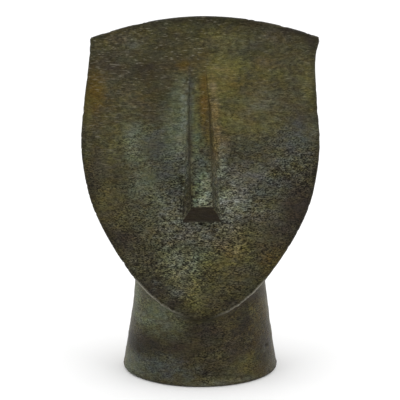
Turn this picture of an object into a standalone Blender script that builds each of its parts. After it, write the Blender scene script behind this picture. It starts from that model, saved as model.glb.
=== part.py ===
"""A bronze head in the old Cycladic manner: a shield of a face that bears only a long nose, leaning
back on a round, flared neck that stands flat. Metres, +Z up. The face looks along -Y, and the
origin is the middle of the underside."""

import math

import bmesh
import bpy
import numpy as np

# Sizes of the neck and its foot, in metres
BASE_WIDTH = 0.1338
BASE_DEPTH = 0.1266
BASE_EDGE_RADIUS = 0.0025
NECK_WIDTH = 0.1106
NECK_WAIST_HEIGHT = 0.085

# Sizes of the head
CHIN_HEIGHT = 0.0573
FACE_HEIGHT = 0.2432
FACE_WIDTH = 0.1994
FACE_RECLINE = 0.066
CHIN_OVERHANG = 0.008
CHIN_BEND_RADIUS = 0.150
CREST_BEND_RADIUS = 0.350
CREST_DROP = 0.0188
RIM_RADIUS = 0.0024
SKULL_BACK = 0.063

# Sizes of the nose
NOSE_PROJECTION = 0.022
NOSE_ROOT_WIDTH = 0.0150
NOSE_BASE_WIDTH = 0.0325
RIDGE_ROOT_WIDTH = 0.0105
RIDGE_TIP_WIDTH = 0.0178
NOSE_EDGE_RADIUS = 0.0014
NOSE_SINK = 0.006
ROOT_SINK = 0.0005

# Carving as shares of the face's half width, and of its height over the chin
SIDE_LINE_SHARES = [
    (0.216, 0.022),
    (0.371, 0.060),
    (0.564, 0.139),
    (0.765, 0.254),
    (0.909, 0.370),
    (0.981, 0.489),
    (1.000, 0.587),
    (0.980, 0.690),
    (0.949, 0.842),
]
CORNER_SIDE_SHARE = 0.967
CREST_SHIFT_SHARE = 0.042
SHIFT_STARTS_SHARE = 0.73
CHEEK_SWELL_SHARE = 0.010
CHEEK_HEIGHT_SHARE = 0.31
CHEEK_SPREAD_SHARE = 0.19
SKULL_POLE_SHARE = 0.55
NECK_TOP_SHARE = 0.46
NOSE_ROOT_SHARE = 0.855
NOSE_TIP_SHARE = 0.394
NOSE_FOOT_SHARE = 0.326
NOSE_LEAN_SHARE = 0.035
SCOOP_HEIGHT_SHARE = 0.66
SCOOP_SPREAD_SHARE = 0.17
SCOOP_SIDE_SHARE = 0.19
SCOOP_WIDTH_SHARE = 0.12
SCOOP_DEPTH_SHARE = 0.022

# The bends of its lines. Of a roundness, 2 is an ellipse, and less is flatter
ARCH_POWER = 1.95
RECLINE_EVEN_SHARE = 0.62
JAW_ROUNDNESS = 2.2
CREST_ROUNDNESS = 1.45
CORNER_FADE_SHARE = 0.85
NECK_FLARE_POWER = 1.3
NECK_TOP_ROUNDNESS = 2.5
RIDGE_POWER = 0.5
LEAN_CENTRE_SHARE = 0.6
KNEE_OUT_SHARE = 0.38
KNEE_DOWN_SHARE = 0.68
KNEE_POWER = 2.5

# How finely the solid is cut
SIDE_POINTS = 76
ARCH_POINTS = 28
FACE_RING_SHARES = [0.10, 0.22, 0.35, 0.48, 0.61, 0.74, 0.86, 0.96]
ROUND_STEPS = 3
SKULL_RINGS = 14
NECK_SIDES = 72
NECK_STEPS = 14
NOSE_SECTIONS = 8
CURVE_STEPS = 12
SHARP_ANGLE = math.radians(32)
MERGE_GAP = 0.0002

BRONZE_COLOUR = (0.066, 0.060, 0.037, 1.0)
BRONZE_ROUGHNESS = 0.5
BRONZE_METALLIC = 0.7

HALF_WIDTH = FACE_WIDTH / 2
CREST_HEIGHT = CHIN_HEIGHT + FACE_HEIGHT
POLE_HEIGHT = CHIN_HEIGHT + SKULL_POLE_SHARE * FACE_HEIGHT
NECK_TOP_HEIGHT = CHIN_HEIGHT + NECK_TOP_SHARE * FACE_HEIGHT
CORNER_HEIGHT_SHARE = 1 - CREST_DROP / FACE_HEIGHT


def bell(t):
    return np.exp(-t * t)


def smooth_step(t):
    t = np.clip(t, 0.0, 1.0)
    return t * t * (3 - 2 * t)


def smooth_line(points, steps):
    """A curve through the points, with this many steps from each to the next."""
    ends = [2 * points[0] - points[1], *points, 2 * points[-1] - points[-2]]
    line = []
    for before, start, end, after in zip(ends, ends[1:], ends[2:], ends[3:]):
        for t in np.arange(steps) / steps:
            line.append(
                start
                + t * (end - before) / 2
                + t**2 * (before - 2.5 * start + 2 * end - after / 2)
                + t**3 * (1.5 * (start - end) + (after - before) / 2)
            )
    return np.array([*line, points[-1]])


def evenly(line, count):
    """This many points along the line, evenly spaced, its first but not its last among them."""
    lengths = np.linalg.norm(np.diff(line, axis=0), axis=1)
    along = np.concatenate([[0.0], np.cumsum(lengths)])
    wanted = along[-1] * np.arange(count) / count
    return np.column_stack([np.interp(wanted, along, line[:, k]) for k in (0, 1)])


def edge_point(side, height):
    """A point of the outline from its shares: the top drifts right, and the right cheek is fuller."""
    drift = (height - SHIFT_STARTS_SHARE) / (CORNER_HEIGHT_SHARE - SHIFT_STARTS_SHARE)
    x = side + CREST_SHIFT_SHARE * np.clip(drift, 0.0, 1.0) ** 2
    if side > 0:
        x += CHEEK_SWELL_SHARE * bell((height - CHEEK_HEIGHT_SHARE) / CHEEK_SPREAD_SHARE)
    return np.array([x * HALF_WIDTH, CHIN_HEIGHT + height * FACE_HEIGHT])


def side_line():
    """From the left corner of the crest, down round the chin and up to the right corner, as (x, z)."""
    right = [*SIDE_LINE_SHARES, (CORNER_SIDE_SHARE, CORNER_HEIGHT_SHARE)]
    left = [(-side, height) for side, height in reversed(right)]
    points = [edge_point(side, height) for side, height in [*left, (0.0, 0.0), *right]]
    return smooth_line(points, CURVE_STEPS)


def arch_line():
    """From the right corner of the crest over to the left corner, as (x, z)."""
    u = np.linspace(1.0, -1.0, ARCH_POINTS * CURVE_STEPS)
    x = (u * CORNER_SIDE_SHARE + CREST_SHIFT_SHARE) * HALF_WIDTH
    return np.column_stack([x, CREST_HEIGHT - CREST_DROP * np.abs(u) ** ARCH_POWER])


def outline():
    """The shield's edge as (x, z), anticlockwise seen from the front."""
    return np.concatenate([evenly(side_line(), SIDE_POINTS), evenly(arch_line(), ARCH_POINTS)])


def inset(line, by):
    """A closed line moved inwards by a length."""
    along = np.roll(line, -1, axis=0) - np.roll(line, 1, axis=0)
    along /= np.linalg.norm(along, axis=1)[:, None]
    return line + by * np.column_stack([-along[:, 1], along[:, 0]])


def neck_radius(z):
    """Half the neck's width at a height: flared below its waist, and closing above it in the head."""
    waist = NECK_WIDTH / 2
    if z < NECK_WAIST_HEIGHT:
        down = (NECK_WAIST_HEIGHT - z) / NECK_WAIST_HEIGHT
        return waist + (BASE_WIDTH / 2 - waist) * down**NECK_FLARE_POWER
    up = min(1.0, (z - NECK_WAIST_HEIGHT) / (NECK_TOP_HEIGHT - NECK_WAIST_HEIGHT))
    return waist * (1 - up**NECK_TOP_ROUNDNESS) ** (1 / NECK_TOP_ROUNDNESS)


CHIN_FRONT = neck_radius(CHIN_HEIGHT) * BASE_DEPTH / BASE_WIDTH + CHIN_OVERHANG


def face_depth(x, z):
    """The y of the face's front: leaning back, bent round, and scooped beside the nose."""
    t = (z - CHIN_HEIGHT) / FACE_HEIGHT
    lean = RECLINE_EVEN_SHARE * t + (1 - RECLINE_EVEN_SHARE) * t * t
    radius = CHIN_BEND_RADIUS + (CREST_BEND_RADIUS - CHIN_BEND_RADIUS) * np.clip(t, 0, 1)
    across = (np.abs(x) / HALF_WIDTH - SCOOP_SIDE_SHARE) / SCOOP_WIDTH_SHARE
    up = (t - SCOOP_HEIGHT_SHARE) / SCOOP_SPREAD_SHARE
    scoop = SCOOP_DEPTH_SHARE * HALF_WIDTH * bell(across) * bell(up)
    return -CHIN_FRONT + FACE_RECLINE * lean + x * x / (2 * radius) + scoop


def face_rings(edge):
    """Rings of (x, y, z) from the middle of the face out to its rim, then round the rim."""
    flat = inset(edge, RIM_RADIUS)
    middle = np.array([0.0, POLE_HEIGHT])
    rings = []
    for share in FACE_RING_SHARES:
        x, z = (middle + share * (flat - middle)).T
        rings.append(np.column_stack([x, face_depth(x, z), z]))
    for turn in np.linspace(0.0, math.pi / 2, ROUND_STEPS + 1):
        x, z = inset(edge, RIM_RADIUS * (1 - math.sin(turn))).T
        y = face_depth(x, z) + RIM_RADIUS * (1 - math.cos(turn))
        rings.append(np.column_stack([x, y, z]))
    return rings


def egg_radius(angle):
    """How far the smooth egg that the back of the head turns into lies from the pole."""
    up = CREST_HEIGHT - POLE_HEIGHT
    down = POLE_HEIGHT - CHIN_HEIGHT
    tall = np.where(np.sin(angle) > 0, up, down)
    return 1 / np.hypot(np.cos(angle) / HALF_WIDTH, np.sin(angle) / tall)


def skull_rings(rim):
    """Rings from the rim back towards the pole of the skull. The crest's corners fade on the way."""
    x, y, z = rim.T
    angle = np.arctan2(z - POLE_HEIGHT, x)
    across, up = np.cos(angle), np.sin(angle)
    reach = np.hypot(x, z - POLE_HEIGHT)
    egg_reach = egg_radius(angle)
    egg_start = face_depth(egg_reach * across, POLE_HEIGHT + egg_reach * up)
    roundness = JAW_ROUNDNESS + (CREST_ROUNDNESS - JAW_ROUNDNESS) * smooth_step(up)
    rings = []
    for turn in np.linspace(0.0, math.pi / 2, SKULL_RINGS + 1)[1:-1]:
        egg = smooth_step(turn / (math.pi / 2 * CORNER_FADE_SHARE))
        radius = (reach + egg * (egg_reach - reach)) * math.cos(turn)
        start = y + egg * (egg_start - y)
        back = start + (SKULL_BACK - start) * math.sin(turn) ** (2 / roundness)
        rings.append(np.column_stack([radius * across, back, POLE_HEIGHT + radius * up]))
    return rings


def loft(name, rings, first=None, last=None):
    """A solid through rings of equal count. Each end closes to a point, or flat where none is given."""
    bm = bmesh.new()
    rows = [[bm.verts.new(point) for point in ring] for ring in rings]
    count = len(rows[0])
    for row, following in zip(rows, rows[1:]):
        for i in range(count):
            j = (i + 1) % count
            bm.faces.new((row[i], row[j], following[j], following[i]))
    for row, tip in ((rows[0], first), (rows[-1], last)):
        if tip is None:
            bm.faces.new(row)
            continue
        end = bm.verts.new(tip)
        for i in range(count):
            bm.faces.new((row[i], row[(i + 1) % count], end))
    bmesh.ops.recalc_face_normals(bm, faces=bm.faces)
    mesh = bpy.data.meshes.new(name)
    bm.to_mesh(mesh)
    bm.free()
    return bpy.data.objects.new(name, mesh)


def make_head():
    rings = face_rings(outline())
    middle = (0.0, face_depth(0.0, POLE_HEIGHT), POLE_HEIGHT)
    pole = (0.0, SKULL_BACK, POLE_HEIGHT)
    return loft("bronze_head", rings + skull_rings(rings[-1]), middle, pole)


def neck_profile():
    """The turned outline as (radius, z), from the top down to the middle of the underside."""
    points = [(0.0, NECK_TOP_HEIGHT)]
    for turn in np.linspace(0.0, math.pi / 2, NECK_STEPS + 1)[1:-1]:
        z = NECK_WAIST_HEIGHT + (NECK_TOP_HEIGHT - NECK_WAIST_HEIGHT) * math.cos(turn)
        points.append((neck_radius(z), z))
    for z in np.linspace(NECK_WAIST_HEIGHT, BASE_EDGE_RADIUS, NECK_STEPS // 2):
        points.append((neck_radius(z), z))
    edge = neck_radius(BASE_EDGE_RADIUS) - BASE_EDGE_RADIUS
    for turn in np.linspace(0.0, math.pi / 2, ROUND_STEPS + 1)[1:]:
        out = edge + BASE_EDGE_RADIUS * math.cos(turn)
        points.append((out, BASE_EDGE_RADIUS * (1 - math.sin(turn))))
    return [*points, (0.0, 0.0)]


def make_neck():
    """A turned column, narrower from front to back than across."""
    points = neck_profile()
    mesh = bpy.data.meshes.new("neck")
    edges = [(i, i + 1) for i in range(len(points) - 1)]
    mesh.from_pydata([(r, 0.0, z) for r, z in points], edges, [])
    neck = bpy.data.objects.new("neck", mesh)
    screw = neck.modifiers.new("turn", "SCREW")
    screw.steps = NECK_SIDES
    screw.render_steps = NECK_SIDES
    screw.use_merge_vertices = True
    screw.merge_threshold = 0.00001
    neck.scale.y = BASE_DEPTH / BASE_WIDTH
    return neck


def nose_section(t):
    """One side of the nose at t, from 0 at its root to 1 at its tip, as (out, y, z): the ridge, a
    knee where the wall flares, less so near the tip, the foot, and its end below the surface."""
    root_z, tip_z, foot_end_z = (
        CHIN_HEIGHT + share * FACE_HEIGHT
        for share in (NOSE_ROOT_SHARE, NOSE_TIP_SHARE, NOSE_FOOT_SHARE)
    )
    root_y = face_depth(0.0, root_z) + ROOT_SINK
    tip_y = face_depth(0.0, tip_z) - NOSE_PROJECTION
    ridge = np.array(
        [
            (RIDGE_ROOT_WIDTH + (RIDGE_TIP_WIDTH - RIDGE_ROOT_WIDTH) * t**RIDGE_POWER) / 2,
            root_y + t * (tip_y - root_y),
            root_z + t * (tip_z - root_z),
        ]
    )
    foot_x = (NOSE_ROOT_WIDTH + (NOSE_BASE_WIDTH - NOSE_ROOT_WIDTH) * t) / 2
    foot_z = root_z + t * (foot_end_z - root_z)
    foot = np.array([foot_x, max(face_depth(foot_x, foot_z), ridge[1]), foot_z])
    knee_out = KNEE_OUT_SHARE + (KNEE_DOWN_SHARE - KNEE_OUT_SHARE) * t**KNEE_POWER
    knee = ridge + (foot - ridge) * (knee_out, KNEE_DOWN_SHARE, KNEE_DOWN_SHARE)
    fall = max(foot[1] - knee[1], NOSE_SINK)
    end = foot + (foot - knee) * NOSE_SINK / fall
    end[1] = foot[1] + NOSE_SINK
    return [ridge, knee, foot, end]


def make_nose():
    rings = []
    for t in np.linspace(0.0, 1.0, NOSE_SECTIONS):
        middle = NOSE_LEAN_SHARE * HALF_WIDTH * (t - LEAN_CENTRE_SHARE)
        side = nose_section(t)
        left = [(middle - out, y, z) for out, y, z in reversed(side)]
        rings.append(left + [(middle + out, y, z) for out, y, z in side])
    nose = loft("nose", rings)
    bevel = nose.modifiers.new("worn edges", "BEVEL")
    bevel.width = NOSE_EDGE_RADIUS
    bevel.segments = 2
    bevel.limit_method = "ANGLE"
    bevel.angle_limit = SHARP_ANGLE
    return nose


def bronze():
    material = bpy.data.materials.new("patinated bronze")
    material.use_nodes = True
    shader = material.node_tree.nodes["Principled BSDF"]
    shader.inputs["Base Color"].default_value = BRONZE_COLOUR
    shader.inputs["Roughness"].default_value = BRONZE_ROUGHNESS
    shader.inputs["Metallic"].default_value = BRONZE_METALLIC
    return material


def cast_as_one(body, helpers):
    """Joins the helper shapes to the body for good, and takes them away."""
    for helper in helpers:
        union = body.modifiers.new(f"join {helper.name}", "BOOLEAN")
        union.operation = "UNION"
        union.object = helper
    evaluated = body.evaluated_get(bpy.context.evaluated_depsgraph_get())
    mesh = bpy.data.meshes.new_from_object(evaluated)
    body.modifiers.clear()
    bm = bmesh.new()
    bm.from_mesh(mesh)
    bmesh.ops.remove_doubles(bm, verts=bm.verts, dist=MERGE_GAP)
    bmesh.ops.triangulate(bm, faces=bm.faces)
    bm.to_mesh(mesh)
    bm.free()
    body.data = mesh
    for helper in helpers:
        bpy.data.objects.remove(helper)


def main():
    for old in list(bpy.data.objects):
        bpy.data.objects.remove(old)
    work = bpy.data.collections.new("bronze head")
    bpy.context.scene.collection.children.link(work)
    head, neck, nose = make_head(), make_neck(), make_nose()
    for shape in (head, neck, nose):
        work.objects.link(shape)
    cast_as_one(head, [neck, nose])
    head.data.materials.clear()
    head.data.materials.append(bronze())
    head.data.shade_smooth()
    head.data.set_sharp_from_angle(angle=SHARP_ANGLE)


main()
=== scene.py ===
"""The looks of the bronze head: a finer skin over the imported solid, its cast grain and its patina,
on a pale floor in soft studio light. Lengths are in metres and follow from the head's own height."""

import math

import bmesh
import bpy
import numpy as np
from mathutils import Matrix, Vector, noise
from mathutils.bvhtree import BVHTree
from mathutils.kdtree import KDTree


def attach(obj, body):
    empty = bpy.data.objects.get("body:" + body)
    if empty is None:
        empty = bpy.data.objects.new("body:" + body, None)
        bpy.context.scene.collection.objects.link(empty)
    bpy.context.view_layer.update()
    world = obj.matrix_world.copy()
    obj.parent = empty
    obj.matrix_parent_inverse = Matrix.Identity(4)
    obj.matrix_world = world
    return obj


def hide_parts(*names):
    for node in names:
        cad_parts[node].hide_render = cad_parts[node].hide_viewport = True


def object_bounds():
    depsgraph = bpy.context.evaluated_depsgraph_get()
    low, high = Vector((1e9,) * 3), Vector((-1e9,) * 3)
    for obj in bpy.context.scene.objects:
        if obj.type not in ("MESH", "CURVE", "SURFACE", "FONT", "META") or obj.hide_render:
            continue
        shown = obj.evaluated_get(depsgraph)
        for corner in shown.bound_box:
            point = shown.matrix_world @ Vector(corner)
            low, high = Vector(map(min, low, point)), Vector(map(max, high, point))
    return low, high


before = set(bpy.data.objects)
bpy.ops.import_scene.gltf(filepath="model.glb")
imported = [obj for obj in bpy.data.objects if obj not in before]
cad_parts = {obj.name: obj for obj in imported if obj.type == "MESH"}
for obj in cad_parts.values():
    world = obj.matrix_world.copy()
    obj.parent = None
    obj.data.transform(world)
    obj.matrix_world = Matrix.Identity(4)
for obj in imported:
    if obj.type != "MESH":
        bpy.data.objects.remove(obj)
cad_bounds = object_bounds()

# A three-hundredth of the head's height, about a millimetre, is the unit of all the fine work
TALL = cad_bounds[1].z - cad_bounds[0].z
GRAIN = TALL / 300

# The skin's cells, the solid's edges that it keeps, and how far from an edge it is held. A firm edge
# also catches the vertices that lie within a share of a cell.
SKIN_CELL = 2.45 * GRAIN
SHARP_ANGLE = math.radians(20)
EDGE_KEPT_WITHIN, EDGE_FULL_SHARE = 2.6 * GRAIN, 0.3
EDGE_FIRM, EDGE_CATCH = 0.9, 0.5
# Smoothing: how freely the skin gives away from the edges and on them, and the number of rounds
FREE_GIVE, EDGE_GIVE = 0.5, 0.05
SMOOTH_ROUNDS, FRONT_SMOOTH_ROUNDS = 20, 4
# Faces that look further forward than this get finer cells
FRONT_FACING = -0.30

# The part of a normal that points backward, or upward, where the front or an underside begins and
# where it is complete
FRONT_FADES = (0.15, -0.35)
SMOOTH_FRONT_FADES = (0.1, -0.3)
UNDERSIDE_FADES = (-0.25, -0.6)

# Where the nose is, and where its side creases end their soft part
NOSE_HALF_WIDTH = 0.075 * TALL
NOSE_BOTTOM, NOSE_TOP = 0.41 * TALL, 0.88 * TALL
CREASE_SOFT_FROM, CREASE_SOFT_TO = 0.78 * TALL, 0.90 * TALL

# The face's edge rolls over a little before the neck: how firmly it holds there, and the heights
# over which it turns crisp again
LIP_HOLD = 0.6
LIP_FROM, LIP_TO = 0.22 * TALL, 0.34 * TALL

# Relief: waves of the wax, ripples, level wrinkles and pits, as (depth, length, height of one)
WAVES = (0.55 * GRAIN, 42 * GRAIN, 36 * GRAIN)
RIPPLES = (0.16 * GRAIN, 15 * GRAIN, 9 * GRAIN)
WRINKLES = (0.13 * GRAIN, 9 * GRAIN, 2.8 * GRAIN)
PITS = (0.34 * GRAIN, 3.0 * GRAIN, 2.0 * GRAIN)
# The noise at which a pit starts and is at its full depth, and how much more of them rough skin has
PIT_STARTS, PIT_ENDS, PIT_SPREAD = 0.12, 0.45, 0.25
# The relief is calmer beside the rim, so that the outline stays clean
RIM_CALM, RIM_CALM_WITHIN = 0.7, 6 * GRAIN
# The underside stays flat up to this height
FLAT_BELOW = 3 * GRAIN
# A small dent low on the neck's right: across, up, half its width and half its height
DENT = (0.187 * TALL, 0.084 * TALL, 1.6 * GRAIN, 1.5 * GRAIN)
DENT_DEPTH = 1.5 * GRAIN

# Where the pits gather: across and up as shares of the height, half the width, half the height and
# strength. They lie round the nose's tip, down the left of the chin and on the right cheek.
PITTED = [
    (0.02, 0.46, 0.20, 0.13, 1.0),
    (-0.06, 0.34, 0.12, 0.11, 0.9),
    (0.22, 0.60, 0.13, 0.10, 0.7),
]

# Noise goes from about -0.7 to 0.7, and this takes it to about 1
NOISE_TO_ONE = 1.5
# Seeds that keep the noises apart, and how far apart one seed is from the next
CLOUD_SEED, DRIFT_SEED, PIT_SEED, FLECK_SEED = 3, 5, 20, 30
SEED_STRIDE = 17.3

# Patina, in linear colour
OLIVE = (0.0540, 0.0480, 0.0250)
TONES = {
    "verdigris": (0.0920, 0.1010, 0.0620),
    "green": (0.0880, 0.1120, 0.0700),
    "ochre": (0.0800, 0.0540, 0.0120),
    "moss": (0.1060, 0.0950, 0.0320),
    "tan": (0.1500, 0.1150, 0.0530),
    "ash": (0.0960, 0.0950, 0.0700),
    "pale": (0.1750, 0.1850, 0.1380),
    "umber": (0.0275, 0.0210, 0.0137),
    "slate": (0.0540, 0.0565, 0.0450),
    "soot": (0.0185, 0.0160, 0.0080),
    "rust": (0.0900, 0.0520, 0.0120),
}
# The pits' dark colour, also used as painted shade under the nose; a painted highlight for the face's
# lower edge beside the chin; the colour of painted glints
PITS_AND_SHADE = (0.010, 0.008, 0.006)
LIP_HIGHLIGHT = (0.19, 0.18, 0.14)
GLINT = (0.30, 0.28, 0.22)

# The face's lower edge as a curve: its height at the chin, and how it rises to each side
CHIN_UP, CHIN_RISE, CHIN_POWER = 0.19, 1.42, 1.6
# How slowly a patch fades beyond its half width and height
PATCH_FADE = 1.6

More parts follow.
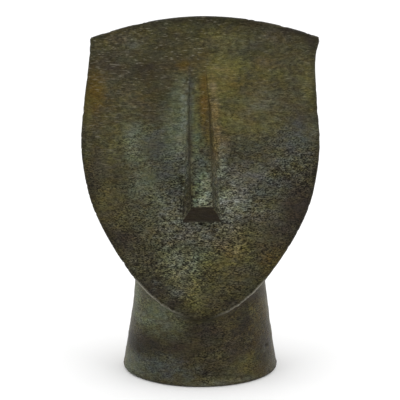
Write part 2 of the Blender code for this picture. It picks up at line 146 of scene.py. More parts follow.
# Where each tone gathers on the face: across and up as shares of the height, half the patch's
# width, half its height, and strength
FACE_PATCHES = {
    "moss": [
        (-0.06, 0.965, 0.05, 0.02, 0.4),
        (-0.16, 0.955, 0.05, 0.02, 0.4),
        (0.06, 0.94, 0.07, 0.03, 0.6),
        (-0.27, 0.925, 0.05, 0.02, 0.3),
        (-0.02, 0.92, 0.06, 0.03, 0.4),
        (0.22, 0.92, 0.06, 0.03, 0.25),
        (0.27, 0.87, 0.03, 0.03, 0.3),
        (0.07, 0.865, 0.055, 0.03, 0.9),
        (0.18, 0.84, 0.08, 0.05, 0.4),
        (0.3, 0.83, 0.03, 0.05, 0.6),
        (0.07, 0.81, 0.045, 0.04, 0.7),
        (0.17, 0.8, 0.05, 0.03, 0.4),
        (-0.009, 0.8, 0.009, 0.04, 0.3),
        (0.24, 0.78, 0.06, 0.06, 0.2),
        (0.13, 0.77, 0.07, 0.05, 0.6),
        (0.312, 0.76, 0.02, 0.03, 0.3),
        (0.085, 0.72, 0.05, 0.035, 0.8),
        (-0.012, 0.72, 0.012, 0.08, 0.3),
        (-0.315, 0.72, 0.018, 0.05, 0.6),
        (0.21, 0.7, 0.04, 0.04, 0.5),
        (0.15, 0.7, 0.07, 0.025, 0.6),
        (0.3, 0.69, 0.02, 0.03, 0.4),
        (-0.25, 0.69, 0.05, 0.06, 0.35),
        (-0.31, 0.65, 0.02, 0.07, 0.3),
        (0.22, 0.495, 0.05, 0.02, 0.2),
        (-0.25, 0.48, 0.05, 0.05, 0.5),
        (0.15, 0.42, 0.05, 0.03, 0.3),
        (0.105, 0.385, 0.035, 0.045, 0.5),
        (0.05, 0.345, 0.05, 0.03, 0.5),
        (-0.06, 0.33, 0.05, 0.05, 0.4),
        (0.07, 0.3, 0.05, 0.03, 0.2),
        (-0.02, 0.27, 0.03, 0.03, 0.5),
        (0.03, 0.265, 0.04, 0.03, 0.2),
        (0.0, 0.24, 0.03, 0.03, 0.45),
    ],
    "umber": [
        # This row and the next two darken the crest's top edge: painted shade
        (0.17, 0.985, 0.07, 0.01, 0.45),
        (0.26, 0.96, 0.05, 0.012, 0.7),
        (0.305, 0.935, 0.02, 0.02, 0.7),
        (-0.07, 0.93, 0.05, 0.03, 0.3),
        (0.0, 0.885, 0.025, 0.02, 0.3),
        (-0.265, 0.875, 0.04, 0.03, 0.3),
        (-0.15, 0.87, 0.075, 0.04, 0.35),
        (-0.24, 0.86, 0.04, 0.02, 0.5),
        # This row and the next four are narrow strips on the nose's side walls: painted shade
        (0.015, 0.85, 0.006, 0.025, 0.3),
        (-0.027, 0.835, 0.0055, 0.035, 0.35),
        (0.02, 0.8, 0.0065, 0.035, 0.15),
        (-0.028, 0.75, 0.006, 0.055, 0.35),
        (0.025, 0.74, 0.0065, 0.04, 0.3),
        (0.27, 0.72, 0.03, 0.05, 0.3),
        (-0.27, 0.71, 0.05, 0.03, 0.15),
        (-0.325, 0.68, 0.015, 0.05, 0.4),
        # This row and the next are painted shade on the nose's side walls as well
        (0.031, 0.67, 0.008, 0.045, 0.1),
        (-0.029, 0.66, 0.007, 0.05, 0.5),
        (0.28, 0.64, 0.03, 0.04, 0.2),
        (-0.29, 0.58, 0.025, 0.1, 0.45),
        (-0.27, 0.56, 0.03, 0.03, 0.3),
        (0.265, 0.48, 0.045, 0.07, 0.9),
        (-0.25, 0.46, 0.03, 0.05, 0.4),
        (-0.16, 0.43, 0.05, 0.05, 0.3),
        (0.245, 0.42, 0.04, 0.05, 0.6),
        (0.2, 0.41, 0.04, 0.06, 0.5),
        (-0.215, 0.4, 0.05, 0.035, 0.7),
        (-0.14, 0.36, 0.04, 0.03, 0.3),
        (0.05, 0.325, 0.045, 0.022, 0.1),
        (-0.13, 0.315, 0.05, 0.03, 0.3),
        (0.1, 0.29, 0.04, 0.03, 0.2),
        (-0.13, 0.275, 0.05, 0.025, 0.9),
        (0.075, 0.235, 0.025, 0.012, 0.7),
        (-0.075, 0.235, 0.025, 0.012, 0.8),
    ],
    "ochre": [
        (-0.045, 0.872, 0.022, 0.012, 0.9),
        (-0.27, 0.85, 0.03, 0.03, 0.35),
        (0.075, 0.815, 0.04, 0.03, 0.3),
        (0.16, 0.81, 0.04, 0.02, 0.35),
        (0.012, 0.8, 0.014, 0.07, 1.0),
        (-0.295, 0.79, 0.032, 0.06, 0.9),
        (0.012, 0.79, 0.012, 0.07, 1.0),
        (0.021, 0.79, 0.008, 0.06, 0.9),
        (-0.28, 0.73, 0.02, 0.04, 0.3),
        (0.16, 0.72, 0.05, 0.03, 0.3),
        (0.02, 0.7, 0.01, 0.04, 0.6),
        (-0.26, 0.5, 0.03, 0.05, 0.3),
        (0.21, 0.35, 0.04, 0.04, 0.6),
    ],
    "tan": [
        (0.19, 0.94, 0.07, 0.02, 0.15),
        (-0.24, 0.935, 0.04, 0.02, 0.25),
        (0.18, 0.87, 0.03, 0.025, 0.3),
        (-0.07, 0.855, 0.04, 0.02, 0.15),
        (0.07, 0.85, 0.05, 0.03, 0.2),
        # The narrow strips from 0.034 to 0.062 across are painted highlights in the hollow beside the
        # nose's right side
        (0.034, 0.8, 0.009, 0.035, 0.8),
        (-0.19, 0.78, 0.07, 0.035, 0.3),
        (0.04, 0.74, 0.01, 0.05, 1.0),
        (0.046, 0.67, 0.012, 0.06, 0.9),
        (0.062, 0.665, 0.02, 0.03, 0.5),
        (0.07, 0.395, 0.045, 0.035, 0.4),
        (0.08, 0.31, 0.04, 0.03, 0.2),
    ],
    "verdigris": [
        (-0.06, 0.8, 0.026, 0.05, 0.5),
        (-0.2, 0.75, 0.03, 0.025, 0.3),
        (-0.066, 0.7, 0.036, 0.06, 1.0),
        (-0.182, 0.68, 0.03, 0.04, 0.85),
        (-0.155, 0.68, 0.045, 0.035, 0.65),
        (-0.085, 0.65, 0.035, 0.05, 0.8),
        (-0.17, 0.64, 0.032, 0.05, 0.65),
        (-0.075, 0.615, 0.03, 0.045, 0.9),
        (-0.15, 0.56, 0.04, 0.045, 0.75),
        (-0.12, 0.55, 0.04, 0.03, 0.6),
        (-0.125, 0.51, 0.04, 0.045, 0.6),
        (-0.1, 0.44, 0.045, 0.04, 0.5),
        (-0.02, 0.36, 0.05, 0.03, 0.6),
        (-0.06, 0.345, 0.045, 0.04, 0.9),
        (-0.055, 0.3, 0.035, 0.04, 0.7),
        (-0.025, 0.29, 0.028, 0.035, 0.6),
    ],
    "green": [
        (-0.022, 0.73, 0.008, 0.06, 0.5),
        (-0.012, 0.68, 0.012, 0.06, 0.7),
        (0.008, 0.67, 0.015, 0.02, 0.4),
        (0.006, 0.6, 0.015, 0.03, 0.5),
        (0.008, 0.56, 0.018, 0.04, 1.0),
        (-0.015, 0.515, 0.01, 0.02, 0.6),
    ],
    "pale": [
        # The narrow strips at -0.048 to -0.042 and at 0.058 across are painted highlights in the hollows
        # beside the nose
        (-0.042, 0.72, 0.01, 0.08, 0.6),
        (0.315, 0.69, 0.012, 0.02, 0.4),
        (-0.048, 0.66, 0.016, 0.03, 0.7),
        (-0.045, 0.6, 0.01, 0.06, 0.5),
        (0.058, 0.6, 0.014, 0.06, 0.35),
        (0.01, 0.565, 0.012, 0.035, 0.25),
        # A painted highlight on the lower end of the nose's front
        (0.01, 0.515, 0.014, 0.022, 0.7),
        (0.082, 0.508, 0.026, 0.03, 0.75),
        (-0.03, 0.505, 0.02, 0.02, 0.25),
        (0.145, 0.485, 0.04, 0.022, 0.35),
        (-0.08, 0.48, 0.03, 0.03, 0.3),
        (0.09, 0.475, 0.05, 0.02, 0.25),
        (-0.03, 0.47, 0.04, 0.02, 0.4),
        (0.03, 0.435, 0.05, 0.014, 0.4),
        (0.07, 0.43, 0.04, 0.03, 0.1),
        (-0.05, 0.34, 0.045, 0.03, 0.33),
    ],
    "ash": [
        (0.19, 0.95, 0.08, 0.02, 0.25),
        (-0.175, 0.925, 0.035, 0.022, 0.35),
        (0.12, 0.925, 0.08, 0.025, 0.2),
        (0.16, 0.77, 0.06, 0.04, 0.45),
        (0.22, 0.75, 0.025, 0.05, 0.25),
        (0.11, 0.72, 0.05, 0.03, 0.3),
        (0.17, 0.71, 0.04, 0.03, 0.25),
        (0.26, 0.7, 0.05, 0.1, 0.15),
        (0.12, 0.68, 0.07, 0.018, 0.3),
        (0.27, 0.62, 0.04, 0.06, 0.3),
        (0.22, 0.61, 0.03, 0.02, 0.6),
        (0.09, 0.57, 0.05, 0.04, 0.75),
        (0.15, 0.57, 0.04, 0.03, 0.9),
        (0.052, 0.55, 0.012, 0.08, 0.7),
        (0.1, 0.515, 0.045, 0.03, 1.0),
        (-0.11, 0.51, 0.06, 0.05, 0.25),
        (-0.07, 0.5, 0.03, 0.04, 0.4),
        (0.085, 0.475, 0.03, 0.025, 0.9),
        (0.2, 0.47, 0.05, 0.035, 0.4),
        (0.03, 0.46, 0.03, 0.02, 0.6),
        (-0.18, 0.447, 0.025, 0.02, 0.3),
        (-0.03, 0.42, 0.07, 0.03, 0.7),
        (0.03, 0.4, 0.05, 0.03, 0.25),
        (-0.185, 0.345, 0.02, 0.03, 0.4),
        (-0.075, 0.268, 0.03, 0.015, 0.7),
    ],
    "slate": [
        (0.22, 0.93, 0.06, 0.03, 0.15),
        (-0.028, 0.81, 0.007, 0.06, 0.5),
        (0.26, 0.66, 0.06, 0.06, 0.65),
        (0.135, 0.65, 0.045, 0.018, 0.4),
        (-0.125, 0.64, 0.03, 0.04, 0.7),
        (0.0, 0.62, 0.02, 0.02, 0.6),
        (0.19, 0.6, 0.06, 0.03, 0.5),
        (0.27, 0.59, 0.04, 0.03, 0.4),
        (-0.09, 0.585, 0.045, 0.05, 0.7),
        (0.19, 0.545, 0.045, 0.03, 0.8),
        (-0.12, 0.285, 0.035, 0.025, 0.25),
    ],
    "rust": [
        (-0.29, 0.82, 0.018, 0.035, 0.3),
        (0.095, 0.815, 0.02, 0.008, 0.3),
        (0.011, 0.8, 0.009, 0.07, 0.5),
        (0.13, 0.79, 0.012, 0.012, 0.3),
    ],
}

# The same for the neck's front. What lies to the side is further back, so it is set lower here than
# it looks from the camera.
NECK_PATCHES = {
    "verdigris": [
        (-0.19, 0.22, 0.03, 0.05, 0.9),
        (-0.12, 0.2, 0.06, 0.045, 0.65),
        (-0.07, 0.175, 0.03, 0.03, 0.5),
        (-0.16, 0.17, 0.05, 0.02, 0.8),
        (-0.1, 0.165, 0.03, 0.02, 0.5),
        (-0.19, 0.035, 0.04, 0.03, 0.8),
        (-0.17, 0.025, 0.05, 0.015, 0.5),
    ],
    "slate": [
        (-0.1, 0.045, 0.08, 0.03, 0.8),
    ],
    "umber": [
        # This row and the next paint the chin's shadow on the neck just below it
        (0.1, 0.235, 0.08, 0.03, 0.8),
        (0.01, 0.155, 0.06, 0.025, 0.7),
        (0.12, 0.15, 0.06, 0.06, 0.68),
        (-0.15, 0.102, 0.07, 0.018, 1.0),
        (-0.05, 0.1, 0.06, 0.03, 0.75),
        (0.11, 0.1, 0.06, 0.05, 0.6),
        (0.185, 0.09, 0.035, 0.07, 0.75),
        (0.03, 0.08, 0.07, 0.05, 0.4),
    ],
    "soot": [
        (0.13, 0.18, 0.08, 0.07, 0.42),
        (-0.13, 0.104, 0.05, 0.014, 0.65),
        (-0.2, 0.09, 0.06, 0.022, 1.0),
        (0.17, 0.055, 0.035, 0.03, 0.6),
    ],
    "ochre": [
        (0.19, 0.24, 0.03, 0.03, 0.5),
        (0.13, 0.18, 0.05, 0.05, 1.2),
        (0.18, 0.09, 0.04, 0.06, 0.7),
    ],
    "moss": [
        (0.12, 0.18, 0.05, 0.05, 0.8),
        (0.205, 0.08, 0.025, 0.05, 0.5),
        (0.135, 0.065, 0.035, 0.035, 0.65),
        (0.05, 0.015, 0.1, 0.014, 0.4),
    ],
    "pale": [
        (0.216, 0.09, 0.01, 0.04, 0.4),
        (0.197, 0.083, 0.004, 0.006, 0.9),
        (0.182, 0.074, 0.009, 0.005, 0.9),
    ],
    "ash": [
        # A painted highlight along the neck's foot, where it reflects the floor
        (0.04, 0.008, 0.09, 0.01, 0.6),
    ],
}

# How much of every tone drifts over the front, how long and how high a drift is, and how much umber is
# painted on the undersides as shade
FRONT_DRIFT = 0.15
DRIFT_SIZE = (45 * GRAIN, 38 * GRAIN)
UNDERSIDE_SHADE = 0.9
# How much of each tone drifts over the sides and the back, which the photo doesn't show
HIDDEN_DRIFT = {"moss": 0.45, "ochre": 0.15, "verdigris": 0.30, "slate": 0.45, "umber": 0.40}

# Studio. The camera's distance, slope, aim and lens are fitted to the photo.
FLOOR_SIZE = 120 * TALL
CAMERA_DISTANCE = 4.326 * TALL
CAMERA_ELEVATION = math.radians(12)
CAMERA_AIM = Vector((-0.0011 * TALL, 0, 0.484 * TALL))
CAMERA_LENS = 138.0
SENSOR_WIDTH = 36.0


def applied(thing):
    """The thing's mesh with its modifiers applied."""
    evaluated = thing.evaluated_get(bpy.context.evaluated_depsgraph_get())
    mesh = bpy.data.meshes.new_from_object(evaluated)
    thing.modifiers.clear()
    thing.data = mesh
    return mesh


def places(mesh):
    """The mesh's vertices as an array."""
    flat = np.empty(len(mesh.vertices) * 3, np.float32)
    mesh.vertices.foreach_get("co", flat)
    return flat.reshape(-1, 3).astype(float)


def move_to(mesh, points):
    mesh.vertices.foreach_set("co", np.ascontiguousarray(points, np.float32).ravel())
    mesh.update()


def normals(mesh):
    flat = np.empty(len(mesh.vertices) * 3, np.float32)
    mesh.vertex_normals.foreach_get("vector", flat)
    return flat.reshape(-1, 3).astype(float)


def smooth_step(low, high, value):
    """0 below low and 1 above high, with a smooth step between. Low may be the larger one."""
    t = np.clip((value - low) / (high - low), 0.0, 1.0)
    return t * t * (3 - 2 * t)


def bell(offset, half_width):
    """1 in the middle, fading smoothly to each side."""
    return np.exp(-((offset / half_width) ** 2))


def faces_front(outward):
    return smooth_step(*FRONT_FADES, outward[:, 1])


def faces_down(outward):
    return smooth_step(*UNDERSIDE_FADES, outward[:, 2])


class Edges:
    """The solid's edges that stay crisp: the rim, the nose's ridge and foot, the base.

    The creases beside the upper nose fill out into soft hollows, and the face's edge rolls over
    before the neck, so these hold less firmly."""

    def __init__(self, mesh):
        bm = bmesh.new()
        bm.from_mesh(mesh)
        bmesh.ops.remove_doubles(bm, verts=bm.verts, dist=GRAIN / 100)
        self.points, self.along, self.holds, rim = [], [], [], []
        for edge in bm.edges:
            if len(edge.link_faces) == 2 and abs(edge.calc_face_angle()) > SHARP_ANGLE:
                start, end = (v.co.copy() for v in edge.verts)
                is_crease = edge.calc_face_angle_signed() < 0
                hold = self.firmness((start + end) / 2, is_crease)
                count = max(1, round((end - start).length / GRAIN))
                row = [start.lerp(end, k / count) for k in range(count + 1)]
                self.points += row
                self.along += [(end - start).normalized()] * (count + 1)
                self.holds += [hold] * (count + 1)
                if not is_crease and self.on_rim(start, end):
                    rim += row
        bm.free()
        self.tree, self.rim = tree_of(self.points), tree_of(rim)

    @staticmethod
    def firmness(place, is_crease):
        if is_crease and place.z < NOSE_TOP:
            return 1 - float(smooth_step(CREASE_SOFT_FROM, CREASE_SOFT_TO, place.z))
        if place.y < 0 and LIP_FROM / 4 < place.z < LIP_TO:
            return LIP_HOLD + (1 - LIP_HOLD) * float(smooth_step(LIP_FROM, LIP_TO, place.z))
        return 1.0

    @staticmethod
    def on_rim(start, end):
        """Whether an edge is part of the face's outline."""
        middle = (start + end) / 2
        on_nose = abs(middle.x) < NOSE_HALF_WIDTH and NOSE_BOTTOM < middle.z < NOSE_TOP
        return middle.z > LIP_FROM / 2 and not on_nose

    def nearest(self, point):
        """The nearest place on an edge, how far it is, and how firmly the edge holds."""
        mark, index, _ = self.tree.find(point)
        along = self.along[index]
        place = mark + along * max(-GRAIN, min(GRAIN, (Vector(point) - mark).dot(along)))
        return place, (Vector(point) - place).length, self.holds[index]

    def hold(self, points):
        """How firmly each point is held by its nearest edge, 1 on a crisp edge, 0 away from it."""
        held = np.empty(len(points))
        for k, point in enumerate(points):
            _, reach, firm = self.nearest(point)
            held[k] = firm * (1 - float(smooth_step(EDGE_FULL_SHARE, 1.0, reach / EDGE_KEPT_WITHIN)))
        return held

    def from_rim(self, points):
        return np.array([self.rim.find(point)[2] for point in points])


def tree_of(points):
    tree = KDTree(len(points))
    for k, point in enumerate(points):
        tree.insert(point, k)
    tree.balance()
    return tree


def smoothed(mesh, give, rounds):
    """Evens the mesh out, each vertex by as much as it gives."""
    ends = np.empty(len(mesh.edges) * 2, np.int32)
    mesh.edges.foreach_get("vertices", ends)
    a, b = ends.reshape(-1, 2).T
    count = len(mesh.vertices)
    near = np.bincount(a, minlength=count) + np.bincount(b, minlength=count)
    points = places(mesh)
    for _ in range(rounds):
        total = np.column_stack(
            [
                np.bincount(a, points[b, k], count) + np.bincount(b, points[a, k], count)
                for k in range(3)
            ]
        )
        points += give[:, None] * (total / near[:, None] - points)
    move_to(mesh, points)


def make_skin(node):
    """An even, fine mesh on the solid's form, finer on the front, with its facets gone."""
    mesh = node.data.copy()
    skin = bpy.data.objects.new("bronze_skin", mesh)
    bpy.context.scene.collection.objects.link(skin)
    edges, solid = Edges(mesh), solid_tree(mesh)
    weld = skin.modifiers.new("weld", "WELD")
    weld.merge_threshold = GRAIN / 100
    even = skin.modifiers.new("even", "REMESH")
    even.mode = "VOXEL"
    even.voxel_size = SKIN_CELL
    mesh = applied(skin)
    smoothed(mesh, give_between(edges, mesh), SMOOTH_ROUNDS)
    sharpen(mesh, edges, solid, SKIN_CELL)
    refine(mesh, lambda face: face.normal.y < FRONT_FACING)
    front = smooth_step(*SMOOTH_FRONT_FADES, normals(mesh)[:, 1])
    smoothed(mesh, give_between(edges, mesh) * front, FRONT_SMOOTH_ROUNDS)
    sharpen(mesh, edges, solid, SKIN_CELL / 2)
    refine(mesh, on_nose)
    sharpen(mesh, edges, solid, SKIN_CELL / 4)
    mesh.shade_smooth()
    return skin, edges


def on_nose(face):
    centre = face.calc_center_median()
    return abs(centre.x) < NOSE_HALF_WIDTH and NOSE_BOTTOM < centre.z < NOSE_TOP and centre.y < 0


def give_between(edges, mesh):
    """How freely each vertex moves when the mesh is evened: hardly at all on an edge."""
    return FREE_GIVE - (FREE_GIVE - EDGE_GIVE) * edges.hold(places(mesh))


def sharpen(mesh, edges, solid, cell):
    """Lays the skin back on the solid near its edges, and its nearest vertices on the edges."""
    points = places(mesh)
    for k, pull in enumerate(edges.hold(points)):
        if pull > 0:
            on_solid = solid.find_nearest(points[k])[0]
            points[k] = Vector(points[k]).lerp(on_solid, pull)
            on_edge, reach, firm = edges.nearest(points[k])
            if firm > EDGE_FIRM and reach < EDGE_CATCH * cell:
                points[k] = on_edge
    move_to(mesh, points)


def solid_tree(mesh):
    bm = bmesh.new()
    bm.from_mesh(mesh)
    tree = BVHTree.FromBMesh(bm)
    bm.free()
    return tree


def refine(mesh, wanted):
    """Halves the cells of the faces that are wanted finer."""
    bm = bmesh.new()
    bm.from_mesh(mesh)
    bm.normal_update()
    faces = [face for face in bm.faces if wanted(face)]
    edges = list(dict.fromkeys(edge for face in faces for edge in face.edges))
    bmesh.ops.subdivide_edges(bm, edges=edges, cuts=1, use_grid_fill=True)
    bm.to_mesh(mesh)
    bm.free()
    mesh.update()


def noise_at(points, length, height, seed):
    """Smooth noise, about -0.7 to 0.7, whose lumps are this long and this high."""
    scaled = points / (length, length, height) + seed * SEED_STRIDE
    return np.array([noise.noise(Vector(p)) for p in scaled])


def patches(points, outward):
    """How much of each tone lies at each point. Where patches of one tone overlap, the strongest counts.
    Drifts of the tones cover the sides and the back, and umber darkens the undersides as painted shade.
    Some of the listed patches paint light and shade too."""
    x, z = points[:, 0] / TALL, points[:, 2] / TALL
    front = faces_front(outward)
    chin_line = CHIN_UP + CHIN_RISE * np.abs(x) ** CHIN_POWER
    face = front * smooth_step(-0.008, 0.008, z - chin_line)
    amounts = {tone: np.zeros(len(points)) for tone in TONES}
    for side, rows_of in ((face, FACE_PATCHES), (front - face, NECK_PATCHES)):
        for tone, rows in rows_of.items():
            for across, up, half_width, half_height, strength in rows:
                far = ((x - across) / half_width) ** 2 + ((z - up) / half_height) ** 2
                patch = strength * side * np.exp(-far / PATCH_FADE)
                amounts[tone] = np.maximum(amounts[tone], patch)
    for seed, tone in enumerate(TONES, DRIFT_SEED):
        cloud = noise_at(points, *DRIFT_SIZE, seed)
        drift = FRONT_DRIFT * front + HIDDEN_DRIFT.get(tone, 0.0) * (1 - front)
        amounts[tone] += drift * smooth_step(-0.1, 0.6, cloud)
    # Painted shade: umber darkens the undersides, except around the chin
    chin = front * smooth_step(0.40, 0.36, z)
    underside = smooth_step(-0.15, -0.6, outward[:, 2])
    amounts["umber"] += UNDERSIDE_SHADE * underside * (1 - chin)
    return {tone: np.clip(amount, 0, 1) for tone, amount in amounts.items()}


def pitting(points, outward):
    """How pitted the skin is: most where the pits gather, least on the upper face."""
    x, z = points[:, 0] / TALL, points[:, 2] / TALL
    gathered = [
        strength * bell(x - across, half_width) * bell(z - up, half_height)
        for across, up, half_width, half_height, strength in PITTED
    ]
    bridge = 0.3 * bell(x - 0.008, 0.018) * smooth_step(0.82, 0.72, z)
    most = np.max([*gathered, bridge], axis=0)
    upper = smooth_step(0.60, 0.76, z)
    plain = 0.40 - 0.22 * upper
    cloud = noise_at(points, 30 * GRAIN, 30 * GRAIN, CLOUD_SEED)
    flecks = noise_at(points, 16 * GRAIN, 10 * GRAIN, FLECK_SEED)
    amount = plain + 0.68 * most + 0.30 * (cloud + flecks) * (1 - 0.6 * upper)
    return np.clip(amount, 0, 1) * (1 - 0.9 * faces_down(outward))


def nose_underside_shade(points, outward):
    """The nose's cut-off end, where shade is painted."""
    across = smooth_step(NOSE_HALF_WIDTH, 0.8 * NOSE_HALF_WIDTH, np.abs(points[:, 0]))
    above_mouth = smooth_step(0.95 * NOSE_BOTTOM, NOSE_BOTTOM, points[:, 2])
    return across * (points[:, 1] < 0) * above_mouth * faces_down(outward)


def neck_dent(points, outward):
    """The dent on the neck, 1 at its middle."""
    across, up, half_width, half_height = DENT
    dent = bell(points[:, 0] - across, half_width) * bell(points[:, 2] - up, half_height)
    return dent * (outward[:, 1] < 0)


def cast_relief(skin, edges):
    """Presses the casting's waves, wrinkles and pits into the skin, and notes where they are."""
    mesh = skin.data
    points, outward = places(mesh), normals(mesh)
    rough = pitting(points, outward)
    lift = np.zeros(len(points))
    for seed, (depth, length, height) in enumerate((WAVES, RIPPLES, WRINKLES)):
        lift += depth * NOISE_TO_ONE * noise_at(points, length, height, seed)
    depth, length, height = PITS
    lumps = noise_at(points, length, height, PIT_SEED) + PIT_SPREAD * (rough - 0.5)
    pit = smooth_step(PIT_STARTS, PIT_ENDS, lumps) * (0.2 + 0.8 * rough)
    dent = neck_dent(points, outward)
    lift -= depth * pit + DENT_DEPTH * dent
    from_rim = edges.from_rim(points)
    calm = 1 - RIM_CALM * bell(from_rim, RIM_CALM_WITHIN)
    base = smooth_step(0.0, FLAT_BELOW, points[:, 2])
    move_to(mesh, points + outward * (lift * base * calm)[:, None])
    # The pits' dark colour also goes on the nose's underside, half as strong: painted shade
    write_amount(mesh, "pit", np.max([pit, 0.5 * nose_underside_shade(points, outward), dent], axis=0))
    write_amount(mesh, "rough", rough)
    write_painted_light(mesh, points, outward, from_rim)
    for tone, amount in patches(points, outward).items():
        write_amount(mesh, tone, amount)


def write_painted_light(mesh, points, outward, from_rim):
    """Notes where light and shade are painted: glints on the forehead, more of them to the left, long
    glinting streaks on the left cheek, painted shade along the rim, and a painted highlight on the face's
    lower edge beside the chin."""
    x, z = points[:, 0] / TALL, points[:, 2] / TALL
    front = faces_front(outward)
    to_left = 1 - 0.6 * smooth_step(-0.02, 0.12, x)
    left_cheek = smooth_step(-0.18, -0.24, x) * smooth_step(0.55, 0.66, z)
    beside_chin = smooth_step(0.02, 0.09, np.abs(x)) * smooth_step(0.31, 0.28, z)
    turned = smooth_step(0.05, -0.25, outward[:, 2]) * smooth_step(0.05, -0.25, outward[:, 1])
    # Painted highlight on the face's lower edge beside the chin, where it turns down towards the neck
    lip_highlight = beside_chin * turned * bell(from_rim, 4 * GRAIN)
    # Painted shade: a dark line along the rim, where the edge turns away
    rim = 0.6 * bell(from_rim, 3.5 * GRAIN) + 0.4 * bell(from_rim, 11 * GRAIN)
    # Painted glints: highlights on the forehead, more of them to the left, and long glinting streaks on
    # the left cheek
    write_amount(mesh, "painted_glints", smooth_step(0.62, 0.86, z) * to_left * front)
    write_amount(mesh, "painted_cheek_glints", left_cheek * front)
    write_amount(mesh, "lip_highlight", lip_highlight)
    write_amount(mesh, "rim", rim * (1 - lip_highlight))


def write_amount(mesh, name, amount):
    layer = mesh.attributes.new(name, "FLOAT", "POINT")
    layer.data.foreach_set("value", amount.astype(np.float32))


class Nodes:
    """A short way to write a material's nodes."""

    def __init__(self, material):
        material.use_nodes = True
        self.tree = material.node_tree
        self.shader = self.tree.nodes["Principled BSDF"]

    def add(self, kind, inputs=(), **settings):
        node = self.tree.nodes.new(kind)
        for name, value in settings.items():
            setattr(node, name, value)
        for socket, value in dict(inputs).items():
            self.join(value, node.inputs[socket])
        return node

    def join(self, value, socket):
        if isinstance(value, bpy.types.NodeSocket):
            self.tree.links.new(value, socket)
        else:
            socket.default_value = value

    def sum(self, operation, a, b):
        return self.add("ShaderNodeMath", {0: a, 1: b}, operation=operation).outputs[0]

    def amount(self, name):
        return self.add("ShaderNodeAttribute", attribute_name=name).outputs["Fac"]

    def step(self, value, low, high, to_low=0.0, to_high=1.0):
        """A smooth step: while the value goes from low to high, the result goes from to_low to to_high."""
        inputs = {"Value": value, "From Min": low, "From Max": high}
        inputs |= {"To Min": to_low, "To Max": to_high}
        node = self.add("ShaderNodeMapRange", inputs, interpolation_type="SMOOTHSTEP")
        return node.outputs[0]

    def mix(self, amount, a, b, blend="MIX"):
        node = self.add("ShaderNodeMix", data_type="RGBA", blend_type=blend)
        for value, socket in zip((amount, a, b), (node.inputs[0], node.inputs[6], node.inputs[7])):
            if isinstance(value, tuple):
                value = (*value, 1.0)
            self.join(value, socket)
        return node.outputs[2]

    def grain(self, length, height, detail=2.0, roughness=0.5):
        """Noise from 0 to 1 whose lumps are this long and this high."""
        where = self.add("ShaderNodeTexCoord").outputs["Object"]
        scale = (1 / length, 1 / length, 1 / height)
        scaled = self.add("ShaderNodeMapping", {"Vector": where, "Scale": scale}).outputs[0]
        inputs = {"Vector": scaled, "Scale": 1.0, "Detail": detail, "Roughness": roughness}
        return self.add("ShaderNodeTexNoise", inputs).outputs["Fac"]


def bronze():
    """Cast bronze under a patina of olive, verdigris, ochre and ash, dark in its pits."""
    material = bpy.data.materials.new("patinated bronze")
    n = Nodes(material)
    mottle = n.grain(4.2 * GRAIN, 2.6 * GRAIN, 2.0, 0.6)
    speck = n.grain(1.6 * GRAIN, 0.62 * GRAIN, 1.0, 0.5)
    streak = n.grain(4.3 * GRAIN, 0.75 * GRAIN, 1.0, 0.5)
    fine = n.grain(1.2 * GRAIN, 0.8 * GRAIN, 1.0)
    colour = n.mix(1.0, patina(n, mottle), light_and_dark(n, speck, streak, mottle), "MULTIPLY")
    n.join(pits_and_painted_light(n, colour, streak), n.shader.inputs["Base Color"])
    mineral = n.sum("MAXIMUM", n.amount("verdigris"), n.amount("ash"))
    n.join(bare_metal(n, mineral), n.shader.inputs["Metallic"])
    coarse = n.sum("ADD", n.step(fine, 0.3, 0.7, 0.39, 0.53), n.sum("MULTIPLY", mineral, 0.08))
    n.join(coarse, n.shader.inputs["Roughness"])
    n.shader.inputs["Specular IOR Level"].default_value = 0.10
    n.join(fine_relief(n, speck, streak, fine), n.shader.inputs["Normal"])
    return material


def patina(n, mottle):
    """The tones, each laid over those before it, with ragged borders."""
    cloud = n.grain(16 * GRAIN, 12 * GRAIN, 4.0, 0.6)
    dark_olive = tuple(0.72 * c for c in OLIVE)
    colour = n.mix(n.step(cloud, 0.35, 0.65), OLIVE, dark_olive)
    spread = n.sum("ADD", n.step(cloud, 0.3, 0.7, -0.12, 0.12), n.step(mottle, 0.3, 0.7, -0.13, 0.13))
    for tone, tint in TONES.items():
        amount = n.amount(tone)
        ragged = n.sum("ADD", amount, n.sum("MULTIPLY", spread, n.step(amount, 0.0, 0.3)))
        colour = n.mix(n.step(ragged, 0.05, 0.95), colour, tint)
    return colour


def light_and_dark(n, speck, streak, mottle):
    """What the patina is multiplied by: dark specks, mostly on rough skin, level lines, painted shade
    along the rim, and a slight drift between warm and cool."""
    # The rim's amount is painted shade, a dark line along the face's edge
    rough, rim_shade = n.amount("rough"), n.amount("rim")
    sunk = n.sum("MULTIPLY", n.step(speck, 0.27, 0.57, -2.1, 0.46), n.step(rough, 0.0, 1.0, 0.14, 1.08))
    lined = n.sum("MULTIPLY", n.step(streak, 0.25, 0.75, -1.0, 1.0), n.step(rough, 0.0, 1.0, 0.26, 0.42))
    swing = n.sum("ADD", n.sum("ADD", sunk, lined), n.step(mottle, 0.25, 0.75, -0.09, 0.09))
    light = n.sum("POWER", math.e, n.sum("ADD", swing, n.sum("MULTIPLY", rim_shade, -0.45)))
    hue = n.step(n.grain(9 * GRAIN, 5 * GRAIN, 2.0, 0.5), 0.3, 0.7, -0.09, 0.09)
    leaf = n.step(n.grain(15 * GRAIN, 8 * GRAIN, 2.0, 0.5), 0.3, 0.7, -0.05, 0.05)
    red = n.sum("MULTIPLY", light, n.sum("ADD", n.sum("MULTIPLY", hue, 0.4), 1.0))
    green = n.sum("MULTIPLY", light, n.sum("ADD", leaf, 1.0))
    blue = n.sum("MULTIPLY", light, n.sum("SUBTRACT", 1.0, n.sum("MULTIPLY", hue, 1.6)))
    return n.add("ShaderNodeCombineColor", {0: red, 1: green, 2: blue}).outputs[0]


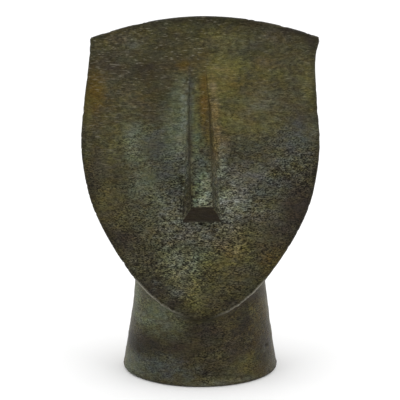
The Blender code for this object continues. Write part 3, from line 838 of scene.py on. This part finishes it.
def pits_and_painted_light(n, colour, streak):
    """The colour with dark pits and painted shade under the nose, a painted highlight on the face's lower
    edge beside the chin, and painted glints and streaks.
    """
    # Dark pits, and the painted shade under the nose
    colour = n.mix(n.step(n.amount("pit"), 0.1, 0.9, 0.0, 0.6), colour, PITS_AND_SHADE)
    # Painted highlight on the face's lower edge beside the chin
    colour = n.mix(n.amount("lip_highlight"), colour, LIP_HIGHLIGHT)
    # Painted glints and longer glinting streaks, mixed in as highlights
    glint = n.sum("MULTIPLY", n.step(streak, 0.63, 0.77), n.amount("painted_glints"))
    long_streak = n.grain(9.0 * GRAIN, 0.9 * GRAIN, 1.0, 0.5)
    long_glint = n.sum("MULTIPLY", n.step(long_streak, 0.62, 0.74), n.amount("painted_cheek_glints"))
    glint = n.sum("MAXIMUM", glint, n.sum("MULTIPLY", long_glint, 0.6))
    return n.mix(n.sum("MULTIPLY", glint, 0.42), colour, GLINT)


def bare_metal(n, mineral):
    """How metallic the skin is: less under verdigris and ash, and hardly at all under umber."""
    thinned = n.step(mineral, 0.1, 0.9, 0.55, 0.25)
    return n.sum("MULTIPLY", thinned, n.step(n.amount("umber"), 0.1, 0.9, 1.0, 0.15))


def fine_relief(n, speck, streak, fine):
    """Relief that is finer than the mesh, as a bump."""
    rough = n.step(n.amount("rough"), 0.0, 1.0, 0.12, 0.75)
    height = n.sum("MULTIPLY", n.step(speck, 0.28, 0.60), rough)
    height = n.sum("ADD", height, n.sum("MULTIPLY", fine, 0.2))
    height = n.sum("ADD", height, n.sum("MULTIPLY", streak, 0.45))
    bump = n.add("ShaderNodeBump", {"Height": height, "Strength": 0.8, "Distance": 0.55 * GRAIN})
    return bump.outputs[0]


def make_floor():
    bpy.ops.mesh.primitive_plane_add(size=FLOOR_SIZE)
    floor = bpy.context.object
    floor.name = "floor"
    material = bpy.data.materials.new("pale floor")
    material.use_nodes = True
    shader = material.node_tree.nodes["Principled BSDF"]
    shader.inputs["Base Color"].default_value = (0.95, 0.95, 0.95, 1)
    shader.inputs["Roughness"].default_value = 0.9
    shader.inputs["Specular IOR Level"].default_value = 0.1
    floor.data.materials.append(material)


def area_light(name, place, width, height, glow, aim=(0, 0, 0.55)):
    """A soft panel. Its place, sides and aim are in head heights, its glow is its radiance."""
    data = bpy.data.lights.new(name, "AREA")
    data.shape = "RECTANGLE"
    data.size, data.size_y = width * TALL, height * TALL
    data.energy = glow * math.pi * data.size * data.size_y
    lamp = bpy.data.objects.new(name, data)
    lamp.location = Vector(place) * TALL
    look = Vector(aim) * TALL - lamp.location
    lamp.rotation_euler = look.to_track_quat("-Z", "Y").to_euler()
    bpy.context.scene.collection.objects.link(lamp)


def make_world():
    """White behind and overhead, grey at the sides and in front."""
    world = bpy.data.worlds.new("studio")
    world.use_nodes = True
    tree = world.node_tree
    where = tree.nodes.new("ShaderNodeTexCoord")
    parts = tree.nodes.new("ShaderNodeSeparateXYZ")
    tree.links.new(where.outputs["Generated"], parts.inputs[0])
    behind = tree.nodes.new("ShaderNodeMath")
    behind.operation = "MULTIPLY_ADD"
    behind.inputs[1].default_value = 0.9
    tree.links.new(parts.outputs["Z"], behind.inputs[0])
    tree.links.new(parts.outputs["Y"], behind.inputs[2])
    ramp = tree.nodes.new("ShaderNodeMapRange")
    ramp.interpolation_type = "SMOOTHSTEP"
    ramp.inputs["From Min"].default_value = -0.4
    ramp.inputs["From Max"].default_value = 0.7
    ramp.inputs["To Min"].default_value = 0.66
    ramp.inputs["To Max"].default_value = 1.35
    tree.links.new(behind.outputs[0], ramp.inputs["Value"])
    background = tree.nodes["Background"]
    background.inputs["Color"].default_value = (1, 1, 1, 1)
    tree.links.new(ramp.outputs[0], background.inputs["Strength"])
    bpy.context.scene.world = world


def make_studio():
    make_world()
    area_light("left panel", (-3.6, -3.4, 2.2), 2.0, 2.4, 2.0)
    area_light("right panel", (3.6, -3.2, 1.9), 1.8, 2.4, 2.6)
    bpy.context.scene.view_settings.view_transform = "Standard"


def make_camera():
    data = bpy.data.cameras.new("camera")
    data.lens = CAMERA_LENS
    data.sensor_width = SENSOR_WIDTH
    camera = bpy.data.objects.new("camera", data)
    back = Vector((0, -math.cos(CAMERA_ELEVATION), math.sin(CAMERA_ELEVATION)))
    camera.location = CAMERA_AIM + back * CAMERA_DISTANCE
    camera.rotation_euler = (-back).to_track_quat("-Z", "Y").to_euler()
    bpy.context.scene.collection.objects.link(camera)
    bpy.context.scene.camera = camera


skin, edges = make_skin(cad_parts["bronze_head"])
cast_relief(skin, edges)
skin.data.materials.clear()
skin.data.materials.append(bronze())
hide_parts("bronze_head")
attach(skin, "root")
make_floor()
make_studio()
make_camera()
